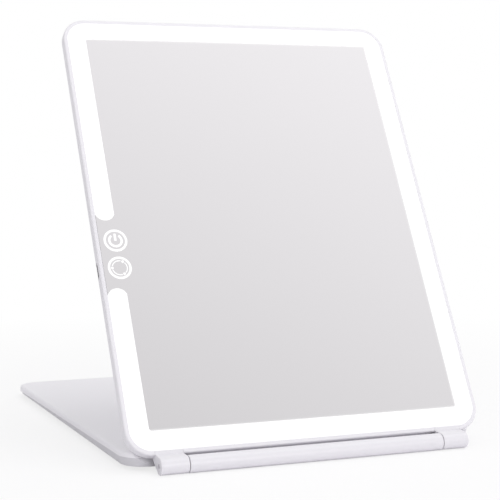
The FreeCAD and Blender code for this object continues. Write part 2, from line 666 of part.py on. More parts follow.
def hinge_barrel():
    """Long tube that carries the pins, with a flat leaf let into the base."""
    tube = rod_x(BARREL_RADIUS, -BARREL_HALF, BARREL_HALF)
    rims = end_edges(tube, -BARREL_HALF) + end_edges(tube, BARREL_HALF)
    tube = tube.makeFillet(BARREL_END_ROUND, rims)
    half = BARREL_HALF - LEAF_SIDE
    leaf = block(-half, half, BARREL_BORE, LEAF_LENGTH, FLOOR_TOP, LEAF_TOP)
    body = tube.fuse(leaf).removeSplitter().cut(rod_x(BARREL_BORE, -BARREL_HALF, BARREL_HALF))
    hole = SCREW_RADIUS + SCREW_HOLE_GAP
    return body.cut([rod_z(hole, x, y, FLOOR_TOP, LEAF_TOP) for x, y in leaf_places()])


# Base
def stop_y(z):
    """Front wall at a height, level with the back of the panel where that leans on its stop."""
    lean = math.radians(LEAN_ANGLE)
    return (z * math.cos(lean) + FACE_SETBACK + PANEL_THICKNESS + STOP_GAP) / math.sin(lean)


BASE_FRONT = stop_y(BASE_LOW)
HOLLOW_FRONT = stop_y(BASE_HIGH) + BASE_SIDE_WALL


def slope(front, back):
    """Height along Y of a plane given by its heights above the table at the base's two ends."""
    def height(y):
        share = (y - BASE_FRONT) / (BASE_BACK - BASE_FRONT)
        return TABLE + front + (back - front) * share
    return height


top_at = slope(BASE_FRONT_HEIGHT, BASE_BACK_HEIGHT)
parting_at = slope(PARTING_FRONT, PARTING_BACK)


def wedge(height, limit, drop=0.0):
    """Everything between a sloping plane, lowered by drop, and a level limit."""
    y0, y1 = BASE_FRONT - BASE_CORNER, BASE_BACK + BASE_CORNER
    outline = [(y0, height(y0) - drop), (y1, height(y1) - drop), (y1, limit), (y0, limit)]
    return turned_profile(outline, -BASE_WIDTH, BASE_WIDTH)


def front_wedge(inset):
    """Everything in front of the sloping front wall."""
    low, high = BASE_LOW - BASE_CORNER, BASE_HIGH + BASE_CORNER
    y0 = stop_y(low) - BASE_CORNER
    outline = [(y0, low), (stop_y(low) + inset, low), (stop_y(high) + inset, high), (y0, high)]
    return turned_profile(outline, -BASE_WIDTH, BASE_WIDTH)


def base_hull():
    """Outside of the base with its top edge rounded at the sides and back."""
    limit = BASE_HIGH + BASE_CORNER
    body = rounded_prism(BASE_HALF, BASE_FRONT, BASE_BACK, BASE_CORNER, BASE_LOW, limit)
    body = body.cut(wedge(top_at, 2 * limit))
    rim = [e for e in body.Edges if all(abs(p.z - top_at(p.y)) < 1e-4 for p in e.discretize(5))]
    body = body.makeFillet(BASE_EDGE_ROUND, rim)
    return body.cut(front_wedge(0))


def tray_hull():
    """Outside of the bottom shell, its walls drawing in towards the underside."""
    high = TABLE + PARTING_FRONT
    outlines = []
    for inset, z in ((LOWER_INSET + UNDERCUT, BASE_LOW), (LOWER_INSET, high)):
        outlines.append(rounded_outline(BASE_HALF - inset, BASE_FRONT + inset, BASE_BACK - inset,
                                        BASE_CORNER - inset, z))
    return Part.makeLoft(outlines, True, True).cut(front_wedge(LOWER_INSET))


def base_hollow():
    """Room between floor, side walls and top."""
    limit = BASE_HIGH + BASE_CORNER
    room = rounded_prism(BASE_HALF - BASE_SIDE_WALL, HOLLOW_FRONT, BASE_BACK - BASE_SIDE_WALL,
                         BASE_CORNER - BASE_SIDE_WALL, FLOOR_TOP, limit)
    return room.cut(wedge(top_at, 2 * limit, BASE_TOP_WALL))


def leaf_places():
    """Screw centres of the barrel's leaf."""
    y = (HOLLOW_FRONT + LEAF_LENGTH) / 2
    return [((i - (LEAF_SCREWS - 1) / 2) * LEAF_SCREW_SPACING, y) for i in range(LEAF_SCREWS)]


def shell_places():
    """Screw centres along the base's sides."""
    x = BASE_HALF - BASE_SCREW_INSET
    front = HOLLOW_FRONT + BASE_SCREW_INSET
    back = BASE_BACK - BASE_SCREW_INSET
    return [(side * x, y) for _, side in LEFT_RIGHT for y in (front, (front + back) / 2, back)]


def base_top_shell():
    body = base_hull().cut(wedge(parting_at, -BASE_WIDTH)).cut(base_hollow())
    bosses = [rod_z(BOSS_RADIUS, x, y, FLOOR_TOP, top_at(y) - BASE_TOP_WALL / 2) for x, y in shell_places()]
    hole_top = BASE_LOW + SCREW_LENGTH + SCREW_HOLE_GAP
    return body.fuse(bosses).removeSplitter().cut(
        [rod_z(SCREW_RADIUS + SCREW_HOLE_GAP, x, y, FLOOR_TOP, hole_top) for x, y in shell_places()])


def base_bottom_shell():
    body = tray_hull().cut(wedge(parting_at, BASE_WIDTH)).cut(base_hollow())
    half = BARREL_HALF - LEAF_SIDE + NOTCH_GAP
    slot = block(-half, half, 0, HOLLOW_FRONT + NOTCH_GAP, FLOOR_TOP, LEAF_TOP + NOTCH_GAP)
    holes = [screw_hole(x, y, BASE_LOW, BASE_FLOOR, 1) for x, y in leaf_places() + shell_places()]
    return body.cut([slot] + holes)


def rubber_feet():
    """Round pads that hold the base's back edge level with its hinge."""
    return [rod_z(FOOT_RADIUS, side * FOOT_SPACING / 2, FOOT_Y, TABLE, BASE_LOW) for _, side in LEFT_RIGHT]


# Assembly
def turned(shape, angle):
    """Turns a flat-drawn piece about the hinge axis and stands it on the table."""
    piece = shape.copy()
    piece.rotate(Vector(0, 0, 0), Vector(1, 0, 0), angle)
    piece.translate(Vector(0, (BARREL_RADIUS - BASE_BACK) / 2, -TABLE))
    return piece


def panel_pieces():
    pieces = {
        "front_frame": front_frame(),
        "rear_shell": rear_shell(),
        "mirror_glass": mirror_glass(),
        "light_diffuser": light_diffuser(),
        "mirror_tape": mirror_tape(),
        "mirror_carrier": mirror_carrier(),
        "light_reflector": light_reflector(),
        "led_strip": led_strip(),
        "leds": Part.Compound(leds()),
        "touch_pads": Part.Compound(touch_pads()),
        "power_mark": Part.Compound(power_mark()),
        "mode_mark": Part.Compound(mode_mark()),
        "control_board": control_board(),
        "board_chips": Part.Compound(board_chips()),
        "usb_socket": usb_socket(),
        "battery": battery(),
        "battery_tape": battery_tape(),
        "battery_leads": Part.Compound(battery_leads()),
        "disc_springs": Part.Compound(disc_springs()),
        "hinge_nuts": Part.Compound(hinge_nuts()),
    }
    back = at_depth(PANEL_THICKNESS)
    length = PANEL_THICKNESS - REFLECTOR_BACK
    pieces["knuckle_screws"] = Part.Compound([screw(x, y, back, length, 1) for x, y in tongue_places()])
    for name, side in LEFT_RIGHT:
        pieces["hinge_knuckle_" + name] = hinge_knuckle(side)
        pieces["hinge_pin_" + name] = hinge_pin(side)
    return pieces


def base_pieces():
    leaf_length = BASE_FLOOR + LEAF_THICKNESS
    pieces = {
        "hinge_barrel": hinge_barrel(),
        "base_top_shell": base_top_shell(),
        "base_bottom_shell": base_bottom_shell(),
        "leaf_screws": Part.Compound([screw(x, y, BASE_LOW, leaf_length, 1) for x, y in leaf_places()]),
        "base_screws": Part.Compound([screw(x, y, BASE_LOW, SCREW_LENGTH, 1) for x, y in shell_places()]),
        "rubber_feet": Part.Compound(rubber_feet()),
    }
    for name, side in LEFT_RIGHT:
        pieces["friction_sleeve_" + name] = friction_sleeve(side)
    return pieces


def assembly():
    pieces = {name: turned(shape, LEAN_ANGLE) for name, shape in panel_pieces().items()}
    pieces.update({name: turned(shape, 0) for name, shape in base_pieces().items()})
    return pieces


def main():
    os.makedirs("parts", exist_ok=True)
    for name, shape in assembly().items():
        shape.exportStep("parts/" + name + ".step")
        volume = sum(solid.Volume for solid in shape.Solids)
        print(f"{name}: {len(shape.Solids)} solids, {volume:.1f} mm3, valid {shape.isValid()}")
    reach = FOOT_Y - FOOT_RADIUS
    short = math.degrees(math.asin((BARREL_RADIUS + CLOSED_GAP - FACE_SETBACK) / reach))
    print(f"hinge axis Y {(BARREL_RADIUS - BASE_BACK) / 2:.3f} Z {BARREL_RADIUS:.3f}")
    print(f"shuts after turning {360 - LEAN_ANGLE - short:.2f} degrees")
    print(f"foot centres X {FOOT_SPACING / 2:.1f} Y {FOOT_Y + (BARREL_RADIUS - BASE_BACK) / 2:.3f}")


main()
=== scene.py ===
"""Finishes of a folding lighted mirror on its fixed frame, its small fittings and the studio round it."""

import json
import math

import bmesh
import bpy
from bpy.props import FloatProperty, FloatVectorProperty, IntProperty, PointerProperty
from mathutils import Matrix, Vector


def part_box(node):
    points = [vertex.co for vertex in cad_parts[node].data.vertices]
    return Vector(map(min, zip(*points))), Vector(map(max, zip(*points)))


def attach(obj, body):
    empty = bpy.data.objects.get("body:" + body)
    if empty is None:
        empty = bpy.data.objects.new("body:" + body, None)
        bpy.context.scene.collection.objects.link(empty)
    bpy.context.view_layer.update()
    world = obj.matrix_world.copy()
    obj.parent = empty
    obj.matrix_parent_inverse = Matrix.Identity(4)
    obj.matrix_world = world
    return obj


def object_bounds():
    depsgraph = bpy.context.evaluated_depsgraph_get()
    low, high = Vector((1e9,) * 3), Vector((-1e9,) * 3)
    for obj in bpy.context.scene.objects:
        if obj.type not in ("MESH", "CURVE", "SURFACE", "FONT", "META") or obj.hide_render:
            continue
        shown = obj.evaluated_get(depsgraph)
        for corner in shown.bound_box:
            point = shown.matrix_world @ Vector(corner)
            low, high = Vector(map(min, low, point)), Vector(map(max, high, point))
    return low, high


bl_info = {
    "name": "Lighted makeup mirror",
    "version": (1, 0, 0),
    "blender": (4, 5, 0),
    "location": "View3D > Sidebar > Mirror",
    "description": "Finishes a folding lighted mirror, adds its small fittings and sets up a studio",
    "category": "Object",
}

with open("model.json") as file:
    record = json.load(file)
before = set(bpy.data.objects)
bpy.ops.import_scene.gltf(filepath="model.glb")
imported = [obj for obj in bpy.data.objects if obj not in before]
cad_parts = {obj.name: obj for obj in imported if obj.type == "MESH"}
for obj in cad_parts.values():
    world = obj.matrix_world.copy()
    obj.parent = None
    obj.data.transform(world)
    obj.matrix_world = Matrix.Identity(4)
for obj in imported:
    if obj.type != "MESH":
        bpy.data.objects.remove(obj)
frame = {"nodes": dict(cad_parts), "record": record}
CAD_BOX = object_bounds()
NODES = frame["nodes"]

# Noise lies between 0 and 1. SHADE is the darkest tone as a share of the colour, SWING the span over
# which roughness varies, SCALE the cells to the metre and DETAIL how finely they are broken up.
NOISE_MIDDLE = 0.5

# White mouldings and paint: fine grain, its relief in metres, and broad clouds
GRAIN_DETAIL = 2.0
GRAIN_BUMP = 0.1
GRAIN_SWING = 0.05
MOULDING_RELIEF = 0.00002
PAINT_RELIEF = 0.00001
CLOUD_SCALE = 18.0
CLOUD_DETAIL = 1.0
CLOUD_SHADE = 0.985

# Mottled pieces: each cell is so many times as wide as its relief is deep
MOTTLE_DETAIL = 3.0
MOTTLE_BUMP = 0.2
MOTTLE_FLATNESS = 20
MOTTLE_SWING = 0.1
MOTTLE_SHADE = 0.88

# Lit plastic and print: white by room light alone, and unevenness at the lamps' pitch, which is in metres
OPAL_WHITE = (0.32, 0.32, 0.32)
OPAL_ROUGHNESS = 0.35
OPAL_SWING = 0.1
LED_PITCH = 0.013
LED_DETAIL = 1.0
LED_SHADE = 0.97

# Silvering: its own roughness, and what the haze and the polished edge add to it
SILVER_ROUGHNESS = 0.008
HAZE_SCALE = 40.0
HAZE_DETAIL = 4.0
HAZE_ROUGHNESS = 0.012
EDGE_ROUGHNESS = 0.2

# Metals: what uneven polish adds to the roughness
POLISH_SCALE = 900.0
POLISH_DETAIL = 3.0
POLISH_ROUGHNESS = 0.12
GILT_COLOUR = (0.85, 0.62, 0.25)
GILT_ROUGHNESS = 0.2

# Width of the camera's sensor, in millimetres
SENSOR_WIDTH = 36.0

# Stage, in metres
FLOOR_SIZE = 12.0
FLOOR_DROP = 0.00005
SHADOW_START = 0.2
SHADOW_END = 0.55
CARD_DISTANCE = 1.2
KEY_PLACE = Vector((0.6, -0.35, 1.75))
KEY_SIZE = 1.2
FILL_PLACE = Vector((0.3, -1.6, 0.5))
FILL_SIZE = 0.8

# The panel's lean above the table, in degrees, as the frame stands at rest, and its hinge
PANEL_LEAN = 60.9
HINGE = Vector(frame["record"]["behaviour"]["joints"][0]["pos_m"])

# Pieces of the frame that share a finish
PANEL_PIECES = ("front_frame", "rear_shell")
HINGE_PAINT_PIECES = ("hinge_barrel", "hinge_knuckle_left", "hinge_knuckle_right")
MARK_PIECES = ("power_mark", "mode_mark")
STEEL_PIECES = (
    "usb_socket", "disc_springs", "hinge_nuts", "knuckle_screws", "leaf_screws", "base_screws",
    "hinge_pin_left", "hinge_pin_right",
)
BRONZE_PIECES = ("friction_sleeve_left", "friction_sleeve_right")
INNER_WHITE_PIECES = ("mirror_carrier", "light_reflector", "led_strip")
TAPE_PIECES = ("mirror_tape", "battery_tape")

# Metal finishes: material, pieces, colour and roughness
STEEL_AND_BRONZE = (
    ("plated_steel", STEEL_PIECES, (0.66, 0.66, 0.67), 0.22),
    ("bearing_bronze", BRONZE_PIECES, (0.62, 0.42, 0.2), 0.35),
)
INNER_METALS = (
    ("bare_copper", ("touch_pads",), (0.75, 0.42, 0.25), 0.3),
    ("foil_pouch", ("battery",), (0.55, 0.56, 0.58), 0.4),
)

# Mottled finishes: material, pieces, colour, roughness and the cells' size in metres
MOTTLED_FINISHES = (
    ("plain_white_moulding", INNER_WHITE_PIECES, (0.86, 0.86, 0.85), 0.5, 0.004),
    ("mounting_tape", TAPE_PIECES, (0.80, 0.80, 0.79), 0.8, 0.0008),
    ("phosphor_lens", ("leds",), (0.92, 0.78, 0.25), 0.3, 0.0004),
    ("solder_mask", ("control_board",), (0.02, 0.12, 0.05), 0.35, 0.002),
    ("chip_moulding", ("board_chips",), (0.03, 0.03, 0.03), 0.45, 0.0003),
    ("lead_insulation", ("battery_leads",), (0.45, 0.02, 0.02), 0.45, 0.001),
    ("soft_grey_rubber", ("rubber_feet",), (0.36, 0.36, 0.37), 0.75, 0.0006),
)


class Signal:
    """A socket of a node tree, so that shader maths can be written as arithmetic."""

    def __init__(self, recipe, socket):
        self.recipe = recipe
        self.socket = socket

    def _maths(self, operation, first, second):
        return self.recipe.add("ShaderNodeMath", {"operation": operation}, {0: first, 1: second})

    def __add__(self, other):
        return self._maths("ADD", self, other)

    def __radd__(self, other):
        return self._maths("ADD", other, self)

    def __sub__(self, other):
        return self._maths("SUBTRACT", self, other)

    def __rsub__(self, other):
        return self._maths("SUBTRACT", other, self)

    def __mul__(self, other):
        return self._maths("MULTIPLY", self, other)

    def lesser(self, other):
        return self._maths("MINIMUM", self, other)


class Recipe:
    """The node tree of one material or of the world, emptied and built up node by node."""

    def __init__(self, tree):
        self.tree = tree
        self.tree.nodes.clear()

    def add(self, kind, settings=None, inputs=None, output=0):
        """Adds a node, sets it up, fills its sockets with values or links, and gives one output."""
        node = self.tree.nodes.new(kind)
        for name, value in (settings or {}).items():
            setattr(node, name, value)
        for name, value in (inputs or {}).items():
            self.fill(node.inputs[name], value)
        return Signal(self, node.outputs[output]) if node.outputs else None

    def fill(self, socket, value):
        if isinstance(value, Signal):
            self.tree.links.new(value.socket, socket)
        else:
            socket.default_value = value

    def place(self):
        """Object coordinates, in metres."""
        return self.add("ShaderNodeTexCoord", output="Object")

    def noise(self, scale, detail):
        """Grey noise, so many cells to the metre."""
        return self.add("ShaderNodeTexNoise", {}, {"Vector": self.place(), "Scale": scale, "Detail": detail})

    def bump(self, height, strength, distance):
        """A normal for relief that is at most this many metres deep."""
        return self.add("ShaderNodeBump", {}, {"Strength": strength, "Distance": distance, "Height": height})

    def flat_place(self):
        """Place on the panel as if it lay flat: X across it and Y along it from the hinge axis, in metres."""
        centred = self.add("ShaderNodeMapping", {}, {"Vector": self.place(), "Location": -HINGE})
        turn = (-math.radians(PANEL_LEAN), 0.0, 0.0)
        flat = self.add("ShaderNodeMapping", {}, {"Vector": centred, "Rotation": turn})
        across = self.add("ShaderNodeSeparateXYZ", {}, {0: flat}, output="X")
        along = self.add("ShaderNodeSeparateXYZ", {}, {0: flat}, output="Y")
        return across, along

    def clamp(self, value):
        """Keeps a value between 0 and 1."""
        return self.add("ShaderNodeClamp", {}, {"Value": value})

    def blend(self, factor, first, second):
        """Mixes two colours."""
        return self.add("ShaderNodeMix", {"data_type": "RGBA"}, {0: factor, 6: first, 7: second}, output=2)

    def surface(self, inputs):
        """A Principled surface on the material's output."""
        shader = self.add("ShaderNodeBsdfPrincipled", {}, inputs)
        self.finish(shader)

    def finish(self, shader, kind="ShaderNodeOutputMaterial"):
        self.add(kind, {}, {"Surface": shader})


def new_material(name):
    material = bpy.data.materials.new(name)
    material.use_nodes = True
    return material, Recipe(material.node_tree)


def dress(names, material):
    """Gives pieces of the frame a finish."""
    for name in names:
        NODES[name].data.materials.clear()
        NODES[name].data.materials.append(material)


def solid(colour):
    """A colour with full opacity."""
    return (*colour, 1.0)


def shaded(colour, share):
    """A darker tone of a colour, with full opacity."""
    return solid([channel * share for channel in colour])


def satin_white(name, colour, roughness, grain_size, grain_height):
    """White moulding or paint with a fine even grain."""
    material, recipe = new_material(name)
    grain = recipe.noise(1.0 / grain_size, GRAIN_DETAIL)
    cloud = recipe.noise(CLOUD_SCALE, CLOUD_DETAIL)
    recipe.surface({
        "Base Color": recipe.blend(cloud, shaded(colour, CLOUD_SHADE), solid(colour)),
        "Roughness": roughness + (grain - NOISE_MIDDLE) * GRAIN_SWING,
        "Normal": recipe.bump(grain, GRAIN_BUMP, grain_height),
    })
    return material


def mottled(name, colour, roughness, cell):
    """One colour with faint mottling and an uneven sheen, its cells this large."""
    material, recipe = new_material(name)
    cells = recipe.noise(1.0 / cell, MOTTLE_DETAIL)
    recipe.surface({
        "Base Color": recipe.blend(cells, shaded(colour, MOTTLE_SHADE), solid(colour)),
        "Roughness": roughness + (cells - NOISE_MIDDLE) * MOTTLE_SWING,
        "Normal": recipe.bump(cells, MOTTLE_BUMP, cell / MOTTLE_FLATNESS),
    })
    return material


def lit(name, colour, strength):
    """White print or opal plastic lit from behind, faintly uneven from lamp to lamp."""
    material, recipe = new_material(name)
    patches = recipe.noise(1.0 / LED_PITCH, LED_DETAIL)
    recipe.surface({
        "Base Color": solid(OPAL_WHITE),
        "Roughness": OPAL_ROUGHNESS + (patches - NOISE_MIDDLE) * OPAL_SWING,
        "Emission Color": recipe.blend(patches, shaded(colour, LED_SHADE), solid(colour)),
        "Emission Strength": strength,
    })
    return material


def silvered(name, colour, edge_colour, edge):
    """Silvering with a faint haze of wipe marks and a paler polished edge on its three straight sides."""
    material, recipe = new_material(name)
    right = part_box("mirror_glass")[1].x
    across, along = recipe.flat_place()
    uphill = Matrix.Rotation(math.radians(PANEL_LEAN), 3, "X") @ Vector((0.0, 1.0, 0.0))
    reach = [(vertex.co - HINGE).dot(uphill) for vertex in NODES["mirror_glass"].data.vertices]
    inward = (right - across).lesser(along - min(reach)).lesser(max(reach) - along)
    rim = recipe.clamp(1.0 - inward * (1.0 / edge))
    haze = recipe.noise(HAZE_SCALE, HAZE_DETAIL)
    recipe.surface({
        "Base Color": recipe.blend(rim, solid(colour), solid(edge_colour)),
        "Metallic": 1.0,
        "Roughness": SILVER_ROUGHNESS + haze * HAZE_ROUGHNESS + rim * EDGE_ROUGHNESS,
    })
    return material


def worn_metal(name, colour, roughness):
    """Metal with faint uneven polish."""
    material, recipe = new_material(name)
    polish = recipe.noise(POLISH_SCALE, POLISH_DETAIL)
    recipe.surface({
        "Base Color": solid(colour),
        "Metallic": 1.0,
        "Roughness": roughness + polish * POLISH_ROUGHNESS,
    })
    return material


def dress_in_metal(finishes):
    """Gives pieces of the frame their metals."""
    for name, pieces, colour, roughness in finishes:
        dress(pieces, worn_metal(name, colour, roughness))


def new_object(name, shape, material):
    """Turns a finished bmesh into an object in the scene."""
    mesh = bpy.data.meshes.new(name)
    shape.to_mesh(mesh)
    shape.free()
    mesh.materials.append(material)
    piece = bpy.data.objects.new(name, mesh)
    bpy.context.scene.collection.objects.link(piece)
    return piece


class MirrorFinish(bpy.types.PropertyGroup):
    """Colours and gloss of the mirror."""

    panel_white: FloatVectorProperty(
        name="Panel white", description="Colour of the panel's mouldings", subtype="COLOR",
        default=(0.81, 0.795, 0.835), min=0.0, max=1.0)
    base_white: FloatVectorProperty(
        name="Base white", description="Colour of the base's top shell", subtype="COLOR",
        default=(0.885, 0.87, 0.91), min=0.0, max=1.0)
    shell_roughness: FloatProperty(
        name="Shell roughness", description="Gloss of the moulded shells", subtype="FACTOR",
        default=0.42, min=0.0, max=1.0)
    # The bottom shell is a darker white than the top shell. Part of that darkening is painted shade on the
    # base's lower band.
    tray_white_with_painted_shade: FloatVectorProperty(
        name="Tray white", description="Colour of the base's bottom shell", subtype="COLOR",
        default=(0.68, 0.67, 0.705), min=0.0, max=1.0)
    paint_white: FloatVectorProperty(
        name="Hinge white", description="Colour of the painted hinge", subtype="COLOR",
        default=(0.785, 0.77, 0.81), min=0.0, max=1.0)
    paint_roughness: FloatProperty(
        name="Hinge roughness", description="Gloss of the painted hinge", subtype="FACTOR",
        default=0.34, min=0.0, max=1.0)
    grain: FloatProperty(
        name="Grain", description="Size of the moulding's fine grain", unit="LENGTH",
        default=0.0006, min=0.0001, max=0.01, precision=5)
    silver: FloatVectorProperty(
        name="Silver", description="Tint of the mirror's silvering", subtype="COLOR",
        default=(0.905, 0.885, 0.905), min=0.0, max=1.0)
    edge_silver: FloatVectorProperty(
        name="Polished edge", description="Tint of the mirror's polished edge", subtype="COLOR",
        default=(0.95, 0.94, 0.95), min=0.0, max=1.0)
    edge_width: FloatProperty(
        name="Edge width", description="Width of the mirror's polished edge", unit="LENGTH",
        default=0.0012, min=0.0001, max=0.01, precision=5)
    glow: FloatVectorProperty(
        name="Glow", description="Colour of the lit band", subtype="COLOR",
        default=(1.0, 1.0, 1.0), min=0.0, max=1.0)
    glow_strength: FloatProperty(
        name="Glow strength", description="Brightness of the lit band",
        default=0.74, min=0.0, max=10.0)
    mark_strength: FloatProperty(
        name="Mark strength", description="Brightness of the lit touch marks",
        default=0.74, min=0.0, max=10.0)


class MirrorFittings(bpy.types.PropertyGroup):
    """Sizes of the small fittings."""

    contact_count: IntProperty(
        name="Contacts", description="Contacts on each face of the charging socket's tongue",
        default=12, min=1, max=24)
    contact_pitch: FloatProperty(
        name="Pitch", description="Distance between neighbouring contacts", unit="LENGTH",
        default=0.0005, min=0.0001, max=0.002, precision=5)
    contact_width: FloatProperty(
        name="Width", description="Width of one contact", unit="LENGTH",
        default=0.00025, min=0.0001, max=0.002, precision=5)
    contact_length: FloatProperty(
        name="Length", description="Length of one contact", unit="LENGTH",
        default=0.0034, min=0.0005, max=0.006, precision=5)
    contact_height: FloatProperty(
        name="Height", description="How thick one contact is", unit="LENGTH",
        default=0.00006, min=0.00001, max=0.0005, precision=5)
    tongue_thickness: FloatProperty(
        name="Tongue", description="Thickness of the socket's tongue", unit="LENGTH",
        default=0.0007, min=0.0002, max=0.002, precision=5)
    tongue_depth: FloatProperty(
        name="Tongue depth", description="Tip of the socket's tongue behind its mouth", unit="LENGTH",
        default=0.00245, min=0.0, max=0.006, precision=5)
    contact_setback: FloatProperty(
        name="Setback", description="Contacts' ends behind the tongue's tip", unit="LENGTH",
        default=0.0004, min=0.0, max=0.002, precision=5)


class MirrorStudio(bpy.types.PropertyGroup):
    """Camera, light and surroundings."""

    camera_place: FloatVectorProperty(
        name="Camera", description="Where the camera stands", subtype="TRANSLATION",
        default=(-0.28723, -0.7626, 0.15338))
    camera_turn: FloatProperty(
        name="Turn", description="How far the camera looks to the right of straight back", subtype="ANGLE",
        default=math.radians(21.54))
    camera_dip: FloatProperty(
        name="Dip", description="How far the camera looks down", subtype="ANGLE", default=math.radians(3.86))
    camera_roll: FloatProperty(
        name="Roll", description="How far the camera leans to one side", subtype="ANGLE",
        default=math.radians(-0.27))
    lens: FloatProperty(
        name="Lens", description="Focal length on a 36 mm sensor, in millimetres",
        default=101.1, min=10.0, max=300.0)
    sky_level: FloatProperty(
        name="Sky", description="Even light from all round", default=0.72, min=0.0, max=5.0)
    key_power: FloatProperty(
        name="Key lamp", description="Power of the large lamp at the upper right, in watts",
        default=7.0, min=0.0, max=500.0)
    fill_power: FloatProperty(
        name="Fill lamp", description="Power of the lamp at the front, in watts",
        default=5.0, min=0.0, max=500.0)
    floor_white: FloatVectorProperty(
        name="Floor", description="Colour of the floor paper", subtype="COLOR",
        default=(0.95, 0.94, 0.96), min=0.0, max=1.0)
    floor_shadow: FloatProperty(
        name="Shadow", description="How much of the shadow the floor shows", subtype="FACTOR",
        default=0.25, min=0.0, max=1.0)
    card_size: FloatProperty(
        name="Card", description="Side of the square card that the glass reflects", unit="LENGTH",
        default=0.75, min=0.1, max=3.0)
    card_spin: FloatProperty(
        name="Card turn", description="How far the card is turned in its own plane", subtype="ANGLE",
        default=math.radians(-55.0))
    card_dark: FloatProperty(
        name="Card low", description="Grey of the card's near end, which the glass reflects",
        subtype="FACTOR", default=0.70, min=0.0, max=1.0)
    card_light: FloatProperty(
        name="Card high", description="Grey of the card's far end, which the glass reflects",
        subtype="FACTOR", default=1.0, min=0.0, max=1.0)


class MIRROR_OT_finish_shells(bpy.types.Operator):
    """Gives panel and base their satin white moulding"""

    bl_idname = "mirror.finish_shells"
    bl_label = "Finish shells"

    def execute(self, context):
        finish = context.scene.mirror_finish
        gloss = (finish.shell_roughness, finish.grain, MOULDING_RELIEF)
        dress(PANEL_PIECES, satin_white("satin_panel_moulding", finish.panel_white, *gloss))
        dress(("base_top_shell",), satin_white("satin_base_moulding", finish.base_white, *gloss))
        # The bottom shell gets a darker copy of the base white, partly painted shade on the base's lower band
        dress(("base_bottom_shell",), satin_white("satin_tray_moulding_painted_shade", finish.tray_white_with_painted_shade, *gloss))
        return {"FINISHED"}


class MIRROR_OT_finish_hinge(bpy.types.Operator):
    """Gives the hinge its white paint and bronze, and every steel piece its plating"""

    bl_idname = "mirror.finish_hinge"
    bl_label = "Finish hinge"

    def execute(self, context):
        finish = context.scene.mirror_finish
        gloss = (finish.paint_roughness, finish.grain, PAINT_RELIEF)
        dress(HINGE_PAINT_PIECES, satin_white("white_hinge_paint", finish.paint_white, *gloss))
        dress_in_metal(STEEL_AND_BRONZE)
        return {"FINISHED"}


class MIRROR_OT_finish_glass(bpy.types.Operator):
    """Silvers the mirror"""

    bl_idname = "mirror.finish_glass"
    bl_label = "Finish glass"

    def execute(self, context):
        finish = context.scene.mirror_finish
        look = (finish.silver, finish.edge_silver, finish.edge_width)
        dress(("mirror_glass",), silvered("silvered_glass", *look))
        return {"FINISHED"}


class MIRROR_OT_finish_light_band(bpy.types.Operator):
    """Lights the band round the mirror"""

    bl_idname = "mirror.finish_light_band"
    bl_label = "Finish light band"

    def execute(self, context):
        finish = context.scene.mirror_finish
        dress(("light_diffuser",), lit("lit_opal_band", finish.glow, finish.glow_strength))
        return {"FINISHED"}


class MIRROR_OT_finish_marks(bpy.types.Operator):
    """Lights the touch marks"""

    bl_idname = "mirror.finish_marks"
    bl_label = "Finish touch marks"

    def execute(self, context):
        finish = context.scene.mirror_finish
        dress(MARK_PIECES, lit("lit_touch_marks", finish.glow, finish.mark_strength))
        return {"FINISHED"}


class MIRROR_OT_finish_inside(bpy.types.Operator):
    """Finishes what lies inside the panel and the feet under the base"""

    bl_idname = "mirror.finish_inside"
    bl_label = "Finish inside and feet"

    def execute(self, context):
        for name, pieces, colour, roughness, cell in MOTTLED_FINISHES:
            dress(pieces, mottled(name, colour, roughness, cell))
        dress_in_metal(INNER_METALS)
        return {"FINISHED"}


class MIRROR_OT_add_socket_contacts(bpy.types.Operator):
    """Lays gilt contacts on both faces of the charging socket's tongue"""

    bl_idname = "mirror.add_socket_contacts"
    bl_label = "Add socket contacts"

    def execute(self, context):
        sizes = context.scene.mirror_fittings
        low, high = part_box("usb_socket")
        centre = (low + high) / 2
        centre.x = low.x + sizes.tongue_depth + sizes.contact_setback + sizes.contact_length / 2
        tilt = Matrix.Translation(centre) @ Matrix.Rotation(math.radians(PANEL_LEAN), 4, "X")
        shape = bmesh.new()
        size = Matrix.Diagonal((sizes.contact_length, sizes.contact_width, sizes.contact_height, 1.0))
        lift = (sizes.tongue_thickness + sizes.contact_height) / 2
        first = -(sizes.contact_count - 1) / 2 * sizes.contact_pitch
        for index in range(sizes.contact_count):
            for side in (-1, 1):
                place = Matrix.Translation((0.0, first + index * sizes.contact_pitch, side * lift))
                bmesh.ops.create_cube(shape, size=1.0, matrix=tilt @ place @ size)
        gilt = worn_metal("gilt_contacts", GILT_COLOUR, GILT_ROUGHNESS)
        contacts = new_object("socket_contacts", shape, gilt)
        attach(contacts, "mirror_panel")
        return {"FINISHED"}


def stage_plane(name, width, length, matrix, material):
    """A flat stage piece."""
    shape = bmesh.new()
    bmesh.ops.create_grid(shape, x_segments=1, y_segments=1, size=0.5)
    bmesh.ops.transform(shape, matrix=Matrix.Diagonal((width, length, 1.0, 1.0)), verts=shape.verts)
    piece = new_object(name, shape, material)
    piece.matrix_world = matrix
    return piece


def floor_paper(white, shadow):
    """White paper that shows the object's shadow and is otherwise as white as the background."""
    material, recipe = new_material("floor_paper")
    paper = recipe.add("ShaderNodeBsdfDiffuse", {}, {"Color": solid(white)})
    glow = recipe.add("ShaderNodeEmission", {}, {"Color": solid((1.0, 1.0, 1.0)), "Strength": 1.0})
    seen = recipe.add("ShaderNodeLightPath", output="Is Camera Ray")
    away = recipe.add("ShaderNodeVectorMath", {"operation": "LENGTH"}, {0: recipe.place()}, output="Value")
    near = recipe.clamp((SHADOW_END - away) * (1.0 / (SHADOW_END - SHADOW_START)))
    mix = recipe.add("ShaderNodeMixShader", {}, {0: seen * (1.0 - near * shadow), 1: paper, 2: glow})
    recipe.finish(mix)
    return material


